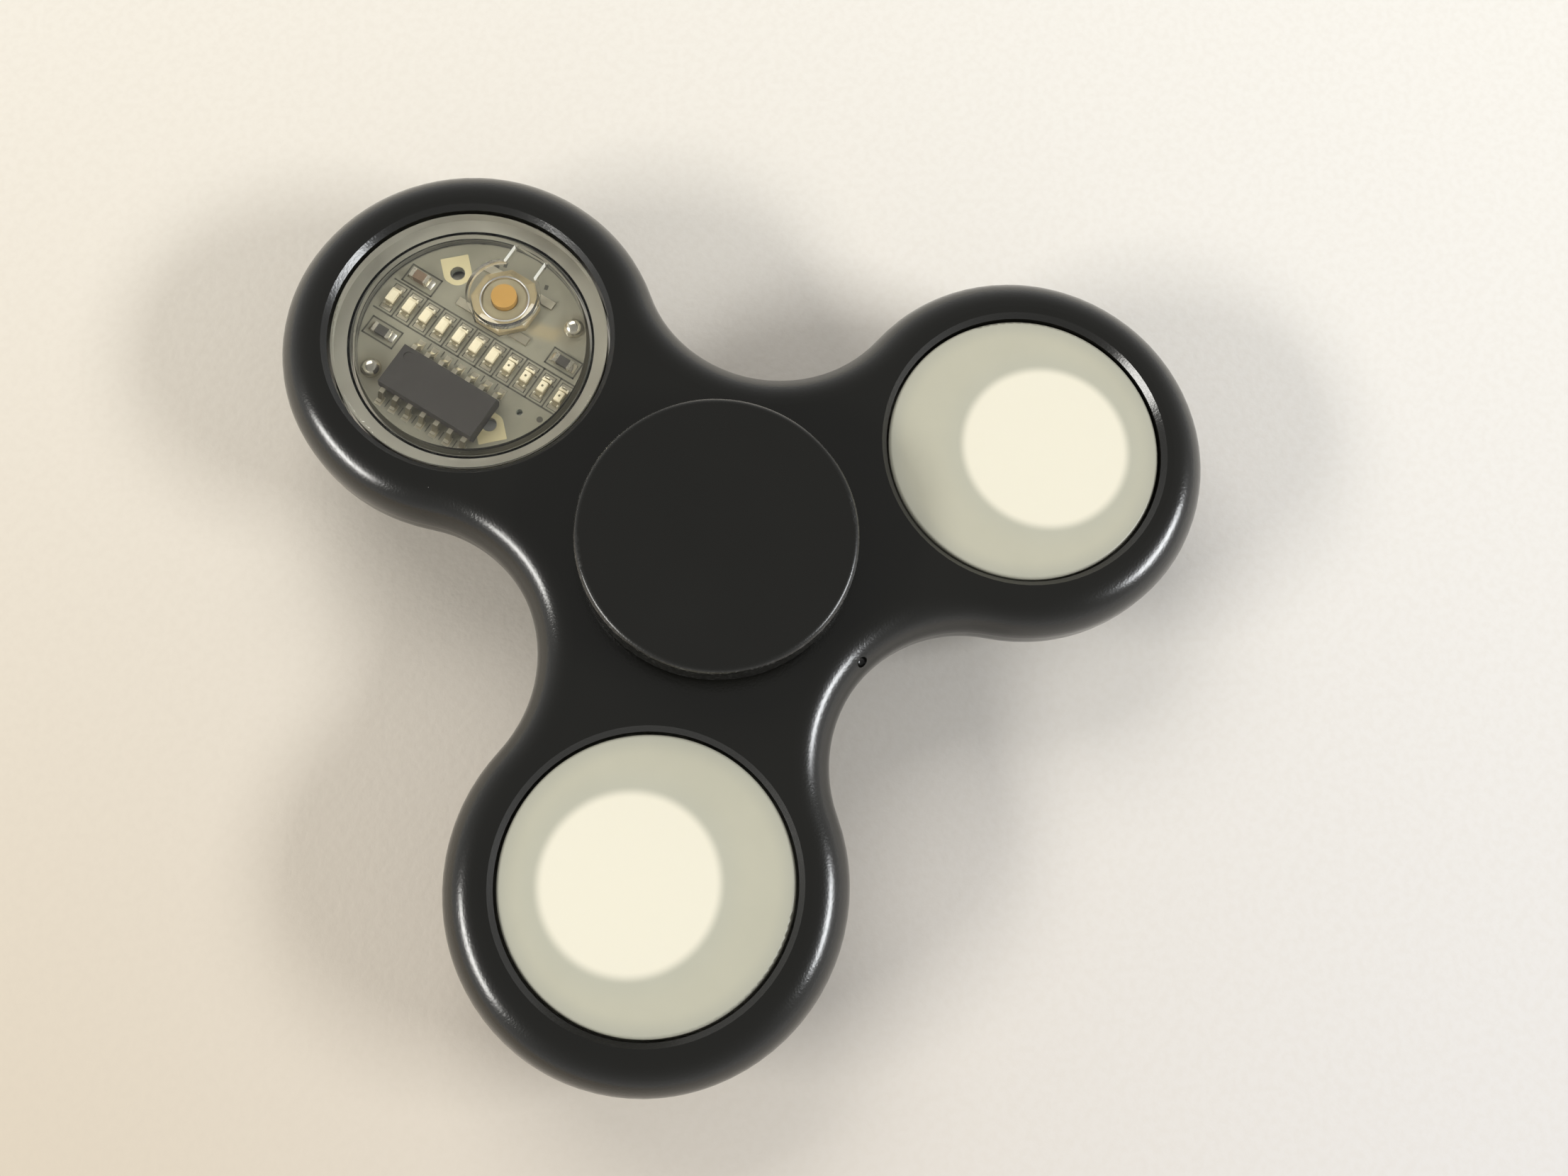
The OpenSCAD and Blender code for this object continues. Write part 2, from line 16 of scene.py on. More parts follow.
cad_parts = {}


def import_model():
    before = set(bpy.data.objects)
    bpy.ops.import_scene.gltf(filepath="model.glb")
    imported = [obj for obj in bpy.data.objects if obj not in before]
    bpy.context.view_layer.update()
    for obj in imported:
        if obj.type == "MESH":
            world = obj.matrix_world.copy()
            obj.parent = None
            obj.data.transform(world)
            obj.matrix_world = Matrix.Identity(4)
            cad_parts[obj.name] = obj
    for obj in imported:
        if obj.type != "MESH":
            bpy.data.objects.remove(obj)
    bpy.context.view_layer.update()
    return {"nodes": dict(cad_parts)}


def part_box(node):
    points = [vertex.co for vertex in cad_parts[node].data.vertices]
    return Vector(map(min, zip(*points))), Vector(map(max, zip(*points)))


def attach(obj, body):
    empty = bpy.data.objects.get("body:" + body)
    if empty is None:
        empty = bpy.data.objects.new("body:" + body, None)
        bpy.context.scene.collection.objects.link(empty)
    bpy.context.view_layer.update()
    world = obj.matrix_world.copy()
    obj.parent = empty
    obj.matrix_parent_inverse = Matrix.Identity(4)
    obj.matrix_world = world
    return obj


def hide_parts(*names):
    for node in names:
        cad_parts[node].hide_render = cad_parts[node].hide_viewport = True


LOG = logging.getLogger("spinner")
MM = 0.001
BOARD_TURN = 9.25
Colour = tuple[float, float, float]
Point = tuple[float, float]


class Body(Enum):
    """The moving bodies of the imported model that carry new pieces."""

    ROTOR = "rotor"
    TONGUE = "tongue"


# ---- Shader maths ----


class Value:
    """A number in a material that Python's operators work on."""

    def __init__(self, paint: "Paint", socket: bpy.types.NodeSocket) -> None:
        """Keeps the paint and the socket that gives the number."""
        self.paint = paint
        self.socket = socket

    def _math(self, operation: str, *values: "Value | float") -> "Value":
        """Adds a Math node.

        Args:
            operation: the node's operation.
            values: its inputs in order.

        Returns:
            The node's result.
        """
        links = {i: v.socket if isinstance(v, Value) else v for i, v in enumerate(values)}
        node = self.paint.node("ShaderNodeMath", {"operation": operation}, links)
        return Value(self.paint, node.outputs[0])

    def __add__(self, other: "Value | float") -> "Value":
        """This plus other."""
        return self._math("ADD", self, other)

    __radd__ = __add__

    def __mul__(self, other: "Value | float") -> "Value":
        """This times other."""
        return self._math("MULTIPLY", self, other)

    __rmul__ = __mul__

    def __sub__(self, other: "Value | float") -> "Value":
        """This less other."""
        return self._math("SUBTRACT", self, other)

    def __rsub__(self, other: "Value | float") -> "Value":
        """Other less this."""
        return self._math("SUBTRACT", other, self)

    def __truediv__(self, other: "Value | float") -> "Value":
        """This over other."""
        return self._math("DIVIDE", self, other)

    def __pow__(self, other: "Value | float") -> "Value":
        """This to the power other."""
        return self._math("POWER", self, other)

    def __abs__(self) -> "Value":
        """This without its sign."""
        return self._math("ABSOLUTE", self)

    def over(self, limit: float) -> "Value":
        """1 where this is over limit, else 0."""
        return self._math("GREATER_THAN", self, limit)

    def ramp(self, low: float, high: float) -> "Value":
        """Smooth step of this from 0 at low to 1 at high."""
        node = self.paint.node(
            "ShaderNodeMapRange",
            {"interpolation_type": "SMOOTHSTEP"},
            {0: self.socket, 1: low, 2: high, 3: 0.0, 4: 1.0},
        )
        return Value(self.paint, node.outputs[0])


class Paint:
    """A material under construction, with one shader and the nodes that feed it."""

    def __init__(self, name: str, tree: bpy.types.NodeTree | None = None) -> None:
        """Starts an empty material called name, or works on the tree that is given."""
        if tree is None:
            self.material = bpy.data.materials.new(name)
            self.material.use_nodes = True
            tree = self.material.node_tree
        self.tree = tree
        self.tree.nodes.clear()
        self.place = self.node("ShaderNodeTexCoord").outputs["Object"]

    def node(
        self,
        kind: str,
        settings: dict[str, object] | None = None,
        sockets: dict[int | str, object] | None = None,
    ) -> bpy.types.Node:
        """Adds one node.

        Args:
            kind: the node's type.
            settings: its properties, set before its sockets.
            sockets: what each input gets, a value or another node's socket.

        Returns:
            The node.
        """
        made = self.tree.nodes.new(kind)
        for name, value in (settings or {}).items():
            setattr(made, name, value)
        for key, value in (sockets or {}).items():
            if isinstance(value, Value):
                value = value.socket
            if isinstance(value, bpy.types.NodeSocket):
                self.tree.links.new(value, made.inputs[key])
            else:
                if isinstance(value, tuple) and made.inputs[key].type == "RGBA":
                    value = (*value[:3], 1.0)
                made.inputs[key].default_value = value
        return made

    def value(self, socket: bpy.types.NodeSocket) -> Value:
        """The number that a socket gives."""
        return Value(self, socket)

    def at(self, centre: Sequence[float], turn: float = 0.0) -> bpy.types.NodeSocket:
        """Object coordinates counted from a centre.

        Args:
            centre: the point that becomes the origin.
            turn: angle of the new axes about Z.

        Returns:
            The coordinates.
        """
        node = self.node(
            "ShaderNodeMapping",
            {"vector_type": "TEXTURE"},
            {0: self.place, 1: tuple(centre), 2: (0.0, 0.0, turn)},
        )
        return node.outputs[0]

    def axes(self, place: bpy.types.NodeSocket | None = None) -> tuple[Value, Value, Value]:
        """The x, y and z of a place, the object coordinates by default."""
        node = self.node("ShaderNodeSeparateXYZ", None, {0: place or self.place})
        return self.value(node.outputs[0]), self.value(node.outputs[1]), self.value(node.outputs[2])

    def noise(
        self, size: float, detail: float = 2.0, place: bpy.types.NodeSocket | None = None
    ) -> Value:
        """Cloudy noise from 0 to 1.

        Args:
            size: how far apart its clouds lie.
            detail: how many finer layers it has.
            place: where it's read, the object coordinates by default.

        Returns:
            The noise.
        """
        sockets = {"Vector": place or self.place, "Scale": 1 / size, "Detail": detail}
        return self.value(self.node("ShaderNodeTexNoise", None, sockets).outputs[0])

    def specks(self, spacing: float, reach: float, share: float) -> Value:
        """Scattered round specks.

        Args:
            spacing: size of the cells that hold one speck each.
            reach: radius of a speck.
            share: how many of the cells have one.

        Returns:
            1 in a speck, else 0.
        """
        sockets = {"Vector": self.place, "Scale": 1 / spacing}
        cells = self.node("ShaderNodeTexVoronoi", None, sockets)
        near = self.value(cells.outputs["Distance"])
        tone = self.node("ShaderNodeSeparateColor", None, {0: cells.outputs["Color"]})
        chosen = self.value(tone.outputs[0]).over(1 - share)
        return chosen * (1 - near.ramp(0.6 * reach / spacing, reach / spacing))

    def mix(self, mask: Value | float, low: object, high: object) -> bpy.types.NodeSocket:
        """A colour from low where mask is 0 to high where it is 1."""
        node = self.node("ShaderNodeMix", {"data_type": "RGBA"}, {0: mask, 6: low, 7: high})
        return node.outputs[2]

    def bump(
        self, height: Value, depth: float, under: bpy.types.NodeSocket | None = None
    ) -> bpy.types.NodeSocket:
        """A bumped normal.

        Args:
            height: the relief, from 0 to 1.
            depth: how high 1 stands.
            under: a bumped normal that this one adds to.

        Returns:
            The normal.
        """
        sockets = {"Strength": 1.0, "Distance": depth, "Height": height}
        if under is not None:
            sockets["Normal"] = under
        return self.node("ShaderNodeBump", None, sockets).outputs[0]

    def shade(self, **sockets: object) -> bpy.types.Material:
        """Ends the material with its shader.

        Args:
            sockets: the shader's inputs by name, with _ for a space.

        Returns:
            The finished material.
        """
        named = {key.replace("_", " "): value for key, value in sockets.items()}
        shader = self.node("ShaderNodeBsdfPrincipled", None, named)
        self.node("ShaderNodeOutputMaterial", None, {0: shader.outputs[0]})
        return self.material


# ---- Finishes ----


@dataclass(frozen=True)
class Finish:
    """A surface finish; each kind paints its own material once."""

    name: str

    def paint(self) -> bpy.types.Material:
        """Paints the material."""
        raise NotImplementedError

    def material(self) -> bpy.types.Material:
        """The material, painted at the first call."""
        return bpy.data.materials.get(self.name) or self.paint()


@dataclass(frozen=True)
class SatinBlack(Finish):
    """Black moulded plastic with a fine spark-eroded grain, dust, and on a cap a lighter rim that is partly
    rub wear and partly a painted highlight.
    """

    colour: Colour = (0.0072, 0.0070, 0.0055)
    roughness: float = 0.22
    grain: float = 0.00018
    grain_depth: float = 0.000013
    rim_radius: float = 0.0
    seam_z: float = 0.0

    def paint(self) -> bpy.types.Material:
        """Paints grain, a cloudy sheen, dust and, on a cap, a rim lightened partly as rub wear and partly as
        a painted highlight along its rounded edge.
        """
        p = Paint(self.name)
        cloud = p.noise(0.009, 3.0)
        dust = p.specks(0.0022, 0.000055, 0.10)
        lint = p.specks(0.0050, 0.00008, 0.08)
        fleck = dust + lint
        grey = p.mix(cloud, tuple(c * 0.9 for c in self.colour), tuple(c * 1.12 for c in self.colour))
        rough = self.roughness - 0.05 + 0.1 * cloud
        # On a cap, a speckled lighter band just inside the rim: partly rubbed wear, partly a painted
        # highlight where light catches the rounded edge.
        if self.rim_radius:
            x, y, _ = p.axes()
            reach = (x * x + y * y) ** 0.5
            rim = reach.ramp(self.rim_radius - 0.00022, self.rim_radius - 0.00004)
            rub_and_glint = rim * p.noise(0.00030, 4.0).ramp(0.48, 0.70)
            grey = p.mix(rub_and_glint * 0.35, grey, (0.12, 0.12, 0.115))
        colour = p.mix(fleck * 0.55, grey, (0.42, 0.40, 0.36))
        fine = p.bump(p.noise(self.grain, 2.0), self.grain_depth)
        soft = p.bump(p.noise(0.0045, 2.0), 0.000012, fine)
        if self.seam_z:
            _, _, z = p.axes()
            soft = p.bump(1 - abs(z - self.seam_z).ramp(0.0, 0.00007), 0.000012, soft)
        return p.shade(
            Base_Color=colour, Roughness=rough, Normal=soft, IOR=1.5, Coat_Weight=0.35, Coat_Roughness=0.2,
        )


@dataclass(frozen=True)
class ClearPlastic(Finish):
    """Clear moulded plastic with a faint tint and finger smears."""

    colour: Colour = (0.965, 0.965, 0.935)
    roughness: float = 0.035

    def paint(self) -> bpy.types.Material:
        """Paints smears, and lets lamplight through to what lies inside."""
        p = Paint(self.name)
        smear = p.noise(0.0035, 3.0).ramp(0.45, 0.75)
        hidden = p.value(p.node("ShaderNodeLightPath").outputs["Is Shadow Ray"])
        flow = p.bump(p.noise(0.0026, 1.0), 0.00001)
        return p.shade(
            Base_Color=p.mix(smear, self.colour, tuple(c * 0.99 for c in self.colour)),
            Roughness=self.roughness + 0.06 * smear,
            Alpha=1 - 0.82 * hidden,
            Normal=flow,
            IOR=1.5,
            Transmission_Weight=1.0,
        )


@dataclass(frozen=True)
class MilkyPlastic(Finish):
    """Opal plastic; a pale disc is painted where the weight stands close behind, as painted light from the
    white weight showing through, and the rim is painted darker as shade.
    """

    centre: tuple[float, float, float] = (0.0, 0.0, 0.0)
    disc_r: float = 0.0
    edge_r: float = 0.0108
    axis: tuple[float, float, float] = (0.0, 0.0, 0.0)
    weight_glow: Colour = (0.84, 0.795, 0.655)

    def paint(self) -> bpy.types.Material:
        """Paints the soft disc of painted light from the weight behind, the thin grey ring round it and the
        painted shade on the darker rim.
        """
        p = Paint(self.name)
        cloud = p.noise(0.004, 3.0)
        tone = p.mix(cloud, (0.50, 0.485, 0.385), (0.545, 0.525, 0.415))
        if self.disc_r:
            # Painted shade: the lens is painted darker towards its rim, where the rounded edge falls into
            # shade.
            x, y, _ = p.axes(p.at(self.axis))
            out = (x * x + y * y) ** 0.5
            tone = p.mix(out.ramp(self.edge_r - 0.0016, self.edge_r) * 0.55, tone, (0.40, 0.40, 0.34))
            x, y, _ = p.axes(p.at(self.centre))
            reach = (x * x + y * y) ** 0.5
            ring = 1 - reach.ramp(self.disc_r, self.disc_r + 0.0022)
            tone = p.mix(ring * 0.25, tone, (0.44, 0.45, 0.39))
            # Painted light: the white weight behind the lens is painted as a soft pale disc in the lens's
            # own colour.
            weight_glow = 1 - reach.ramp(self.disc_r - 0.00055, self.disc_r + 0.00035)
            tone = p.mix(weight_glow, tone, self.weight_glow)
        fine = p.bump(p.noise(0.0003, 2.0), 0.000003)
        if self.disc_r:
            x, y, _ = p.axes(p.at(self.axis))
            fine = p.bump(1 - (x * x + y * y) / self.edge_r**2, 0.0006, fine)
        return p.shade(
            Base_Color=tone, Roughness=0.28 + 0.08 * cloud, Normal=fine, IOR=1.49,
            Subsurface_Weight=0.12, Subsurface_Scale=0.0008, Subsurface_Radius=(1.0, 1.0, 0.9),
        )


@dataclass(frozen=True)
class Metal(Finish):
    """Bare metal with fine wear."""

    colour: Colour = (0.72, 0.71, 0.68)
    roughness: float = 0.22
    grain: float = 0.0004
    grain_depth: float = 0.000004
    stain: Colour = (0.35, 0.32, 0.26)
    stained: float = 0.25

    def paint(self) -> bpy.types.Material:
        """Paints fine relief, uneven gloss and faint stains."""
        p = Paint(self.name)
        fine = p.noise(self.grain, 3.0)
        patch = p.noise(self.grain * 6, 3.0).ramp(0.5, 0.8)
        return p.shade(
            Base_Color=p.mix(patch * self.stained, self.colour, self.stain),
            Roughness=self.roughness + 0.12 * fine,
            Metallic=1.0,
            Normal=p.bump(fine, self.grain_depth),
        )


@dataclass(frozen=True)
class Dull(Finish):
    """Opaque non-metal: ceramic, moulding compound, ink or paint."""

    colour: Colour = (0.5, 0.5, 0.5)
    other: Colour = (0.45, 0.45, 0.45)
    roughness: float = 0.5
    grain: float = 0.0004
    grain_depth: float = 0.000003
    coat: float = 0.0

    def paint(self) -> bpy.types.Material:
        """Paints two close tones over a fine relief."""
        p = Paint(self.name)
        fine = p.noise(self.grain, 3.0)
        cloud = p.noise(self.grain * 8, 2.0)
        return p.shade(
            Base_Color=p.mix(cloud, self.colour, self.other),
            Roughness=self.roughness - 0.06 + 0.12 * fine,
            Normal=p.bump(fine, self.grain_depth),
            Coat_Weight=self.coat,
        )


@dataclass(frozen=True)
class EndedPart(Finish):
    """A ceramic chip part with tinned ends."""

    centre: tuple[float, float, float] = (0.0, 0.0, 0.0)
    turn: float = 0.0
    body: Colour = (0.05, 0.05, 0.05)
    half_body: float = 0.5 * MM

    def paint(self) -> bpy.types.Material:
        """Paints the body between its two ends."""
        p = Paint(self.name)
        _, y, _ = p.axes(p.at(self.centre, self.turn))
        end = abs(y).ramp(self.half_body - 0.03 * MM, self.half_body + 0.03 * MM)
        fine = p.noise(0.00025, 3.0)
        body = p.mix(fine, tuple(c * 0.85 for c in self.body), tuple(c * 1.2 for c in self.body))
        return p.shade(
            Base_Color=p.mix(end, body, (0.70, 0.66, 0.55)),
            Metallic=end,
            Roughness=0.4 - 0.16 * end + 0.08 * fine,
            Normal=p.bump(fine, 0.000006),
        )


@dataclass(frozen=True)
class SolderMask(Finish):
    """White solder mask with copper under it, a flux stain and a tan streak."""

    board: Matrix = field(default_factory=Matrix.Identity, hash=False, compare=False)
    turn: float = 0.0
    streak: Point = (0.0042, -0.0040)
    blobs: tuple[Point, ...] = ()

    def paint(self) -> bpy.types.Material:
        """Paints the mask, the brown edge of the laminate and the flux round the joints."""
        p = Paint(self.name)
        centre = self.board.translation
        place = p.at(centre, self.turn)
        x, y, z = p.axes(place)
        cloud = p.noise(0.0022, 4.0)
        tone = p.mix(cloud, (0.235, 0.222, 0.168), (0.265, 0.248, 0.186))
        for bx, by in self.blobs:
            dx, dy = x - bx, y - by
            halo = 1 - ((dx * dx + dy * dy) ** 0.5).ramp(0.0009, 0.0019)
            tone = p.mix(halo * 0.42 * cloud.ramp(0.2, 0.7), tone, (0.20, 0.165, 0.10))
        sx, sy = x - self.streak[0], y - self.streak[1]
        streak = (1 - (abs(sx + 0.25 * sy)).ramp(0.0002, 0.0010)) * (1 - abs(sy).ramp(0.0006, 0.0017))
        tone = p.mix(streak * 0.5, tone, (0.40, 0.31, 0.16))
        under = p.mix(p.noise(0.0012, 3.0), (0.40, 0.42, 0.36), (0.47, 0.48, 0.42))
        side = 1 - z.ramp(-0.00006, -0.00001)
        tone = p.mix(side, tone, under)
        relief = p.bump(p.noise(0.0006, 2.0), 0.000004)
        return p.shade(Base_Color=tone, Roughness=0.3 + 0.12 * cloud, Normal=relief, IOR=1.5)


BODY_BLACK = SatinBlack("body_black", seam_z=7.0 * MM)
CAP_BLACK = SatinBlack("cap_black", roughness=0.30, rim_radius=0.01065, colour=(0.0066, 0.0064, 0.0050))
CLEAR = ClearPlastic("clear_shell")
MILKY_CUP = MilkyPlastic("milky_cup")
RACE_STEEL = Metal("race_steel", colour=(0.56, 0.57, 0.58), roughness=0.16, stained=0.1)
BALL_STEEL = Metal("ball_steel", colour=(0.62, 0.63, 0.65), roughness=0.08, stained=0.0)
SHEET_STEEL = Metal("sheet_steel", colour=(0.66, 0.65, 0.62), roughness=0.24)
SOLDER = Metal("solder_tin", colour=(0.80, 0.76, 0.66), roughness=0.14, grain_depth=0.00002)
TIN = Metal("tinned_metal", colour=(0.66, 0.61, 0.48), roughness=0.26, grain_depth=0.00001)
CELL_STEEL = Metal("cell_steel", colour=(0.60, 0.60, 0.58), roughness=0.3)
GASKET = Dull("gasket_dark", (0.05, 0.05, 0.05), (0.07, 0.07, 0.065), 0.5)
BARE_PAD = Dull("bare_pad", (0.62, 0.54, 0.32), (0.56, 0.485, 0.285), 0.34, 0.0003, 0.000003, 0.4)
CHIP_BODY = Dull("chip_body", (0.008, 0.0075, 0.006), (0.012, 0.0115, 0.009), 0.62, 0.00012, 0.000006)
LIGHT_BODY = Dull("light_body", (0.35, 0.30, 0.165), (0.31, 0.265, 0.145), 0.30, 0.0002, 0.000002, 0.3)
CARRIER = Dull("light_carrier", (0.21, 0.18, 0.11), (0.26, 0.22, 0.135), 0.4)
LIGHT_DIE = Dull("light_die", (0.13, 0.11, 0.06), (0.17, 0.14, 0.08), 0.4)
SWITCH_CREAM = Dull("switch_cream", (0.36, 0.29, 0.165), (0.33, 0.265, 0.15), 0.30, 0.0005, 0.000002, 0.6)
SWITCH_FILM = Dull("switch_film", (0.36, 0.315, 0.20), (0.33, 0.285, 0.18), 0.34, 0.0005, 0.000002, 0.3)
PLUNGER_AMBER = Dull("plunger_amber", (0.46, 0.26, 0.06), (0.42, 0.235, 0.055), 0.42, 0.0003, 0.000003)
INK = Dull("board_ink", (0.060, 0.056, 0.042), (0.095, 0.088, 0.066), 0.6, 0.00015, 0.000001)
WEIGHT_WHITE = Dull("weight_white", (0.86, 0.84, 0.78), (0.80, 0.78, 0.72), 0.5, 0.0006)
# Pale skin inside the clear walls: a painted reflection of the light that the wall reflects inward.
WALL_REFLECTION = Dull("painted_wall_reflection", (0.42, 0.40, 0.335), (0.25, 0.235, 0.19), 0.6, 0.0006, 0.000004)
# Pale strips at the slot: partly the cut faces, partly a painted glint along them.
CUT_FACE_GLINT = Dull("cut_face_glint", (0.78, 0.77, 0.70), (0.70, 0.69, 0.62), 0.5, 0.0003, 0.000006)


# ---- Mesh tools ----


Outline = Callable[[float], float]


def circle(radius: float) -> Outline:
    """A round outline: the same reach at every angle."""
    return lambda angle: radius


@dataclass
class Form:
    """A mesh under construction on top of the circuit board or in the model's frame."""

    place: Matrix = field(default_factory=Matrix.Identity)
    mesh: bmesh.types.BMesh = field(default_factory=bmesh.new)

    def block(
        self, size: Sequence[float], at: Sequence[float], turn: float = 0.0, bevel: float = 0.0
    ) -> list[bmesh.types.BMVert]:
        """Adds a block.

        Args:
            size: its length on each axis.
            at: the middle of its underside.
            turn: its angle about Z.
            bevel: radius of its upper edges.

        Returns:
            Its vertices.
        """
        spot = Matrix.Translation((at[0], at[1], at[2] + size[2] / 2)) @ Matrix.Rotation(turn, 4, "Z")
        made = bmesh.ops.create_cube(self.mesh, size=1.0, matrix=spot @ Matrix.Diagonal((*size, 1.0)))
        verts = made["verts"]
        if bevel:
            top = at[2] + size[2] - 1e-7
            edges = {e for v in verts for e in v.link_edges if max(w.co.z for w in e.verts) > top}
            self.round(edges, bevel)
        return verts

    def round(self, edges: Iterable[bmesh.types.BMEdge], radius: float, segments: int = 2) -> None:
        """Rounds some edges."""
        bmesh.ops.bevel(
            self.mesh, geom=list(edges), offset=radius, affect="EDGES", segments=segments,
            profile=0.5, material=-1, clamp_overlap=True,
        )

    def post(
        self, radius: float, height: float, at: Sequence[float], segments: int = 32, top: float | None = None
    ) -> list[bmesh.types.BMVert]:
        """Adds a round post, or a cone where top gives another radius; at is the middle of its underside."""
        made = bmesh.ops.create_cone(
            self.mesh, cap_ends=True, segments=segments, radius1=radius,
            radius2=radius if top is None else top, depth=height,
            matrix=Matrix.Translation((at[0], at[1], at[2] + height / 2)),
        )
        return made["verts"]

    def stroke(self, a: Point, b: Point, width: float, height: float) -> None:
        """Adds a printed line from a to b."""
        run = Vector((b[0] - a[0], b[1] - a[1]))
        turn = math.atan2(run.y, run.x)
        middle = ((a[0] + b[0]) / 2, (a[1] + b[1]) / 2, 0.0)
        self.block((run.length + width, width, height), middle, turn)

    def lathe(self, profile: Sequence[Point], at: Point = (0.0, 0.0), steps: int = 48) -> None:
        """Spins a profile of (radius, height) points about a vertical axis.

        Args:
            profile: the points in order; ends on the axis close the shape.
            at: where the axis stands.
            steps: faces round the turn.
        """
        points = [self.mesh.verts.new((at[0] + r, at[1], z)) for r, z in profile]
        edges = [self.mesh.edges.new(pair) for pair in zip(points, points[1:])]
        before = set(self.mesh.verts) - set(points)
        bmesh.ops.spin(
            self.mesh, geom=points + edges, cent=(at[0], at[1], 0.0), axis=(0.0, 0.0, 1.0),
            angle=math.tau, steps=steps, use_merge=True,
        )
        mine = [v for v in self.mesh.verts if v not in before]
        bmesh.ops.remove_doubles(self.mesh, verts=mine, dist=1e-8)
        faces = {f for v in self.mesh.verts if v not in before for f in v.link_faces}
        bmesh.ops.recalc_face_normals(self.mesh, faces=list(faces))

    def rings(self, loops: Sequence[tuple[Outline, float]], steps: int = 96) -> None:
        """Walls up a chain of closed loops about the vertical axis.

        Args:
            loops: for each loop, its radius as a function of the angle, and its height.
            steps: corners of a loop.
        """
        verts = bmesh.ops.create_circle(self.mesh, segments=steps, radius=1.0)["verts"]
        edges = list({e for v in verts for e in v.link_edges})
        for number, (radius, height) in enumerate(loops):
            if number:
                grown = bmesh.ops.extrude_edge_only(self.mesh, edges=edges)["geom"]
                verts = [v for v in grown if isinstance(v, bmesh.types.BMVert)]
                lines = [e for e in grown if isinstance(e, bmesh.types.BMEdge)]
                edges = [e for e in lines if all(v in verts for v in e.verts)]
            for vert in verts:
                angle = math.atan2(vert.co.y, vert.co.x)
                reach = radius(angle)
                vert.co = (reach * math.cos(angle), reach * math.sin(angle), height)
        bmesh.ops.remove_doubles(self.mesh, verts=self.mesh.verts[:], dist=1e-8)
        bmesh.ops.recalc_face_normals(self.mesh, faces=self.mesh.faces[:])

    def finish(
        self, name: str, finish: Finish, body: Body, slot: str = "", crease: float = 35.0
    ) -> bpy.types.Object:
        """Ends the mesh as a piece.

        Args:
            name: the piece's name.
            finish: its finish.
            body: the body that carries it.
            slot: a material slot's name; not used.
            crease: edges sharper than this angle in degrees stay sharp.

        Returns:
            The piece, at the origin with its place in its mesh.
        """
        bmesh.ops.transform(self.mesh, matrix=self.place, verts=self.mesh.verts[:])
        for face in self.mesh.faces:
            face.smooth = True
        for edge in self.mesh.edges:
            edge.smooth = edge.calc_face_angle(math.pi) < math.radians(crease)
        data = bpy.data.meshes.new(name)
        self.mesh.to_mesh(data)
        self.mesh.free()
        data.materials.append(finish.material())
        piece = bpy.data.objects.new(name, data)
        bpy.context.scene.collection.objects.link(piece)
        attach(piece, body.value)
        LOG.info("%s: %d faces", name, len(data.polygons))
        return piece


class Assembly:
    """Something that dresses CAD nodes and builds pieces."""

    nodes: dict[str, bpy.types.Object] = {}

    def dress(self, finish: Finish, *names: str) -> None:
        """Gives CAD nodes a finish."""
        for name in names:
            slots = self.nodes[name].data.materials
            slots.clear()
            slots.append(finish.material())

    def build(self) -> None:
        """Makes the pieces and dresses the nodes."""
        raise NotImplementedError


# ---- The spinner's sub-assemblies ----


@dataclass
class Shell(Assembly):
    """The black body and its two finger caps."""

    def build(self) -> None:
        """Dresses the body and the caps."""
        self.dress(BODY_BLACK, "spinner_body")
        self.dress(CAP_BLACK, "top_finger_cap", "bottom_finger_cap")


@dataclass
class Bearing(Assembly):
    """The ball bearing in the body's middle."""

    def build(self) -> None:
        """Dresses races, balls, cage and shields."""
        self.dress(RACE_STEEL, "bearing_inner_race", "bearing_outer_race")
        self.dress(BALL_STEEL, "bearing_balls")
        self.dress(SHEET_STEEL, "bearing_cage", "top_bearing_shield", "bottom_bearing_shield")


@dataclass
class Weights(Assembly):
    """The two milky capsules with a weight in each."""

    edge_r: float = 10.8 * MM

    def build(self) -> None:
        """Dresses lenses, cups and weights, each lens with the pale disc of its own weight painted in as
        light showing through.
        """
        self.dress(MILKY_CUP, "right_weight_cup", "left_weight_cup")
        self.dress(WEIGHT_WHITE, "right_weight", "left_weight")
        for side in ("right", "left"):
            low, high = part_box(f"{side}_weight")
            outer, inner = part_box(f"{side}_diffuser")
            lens = MilkyPlastic(
                f"milky_lens_{side}",
                centre=tuple((low + high) / 2),
                disc_r=(high.x - low.x) / 2,
                edge_r=self.edge_r,
                axis=tuple((outer + inner) / 2),
            )
            self.dress(lens, f"{side}_diffuser")


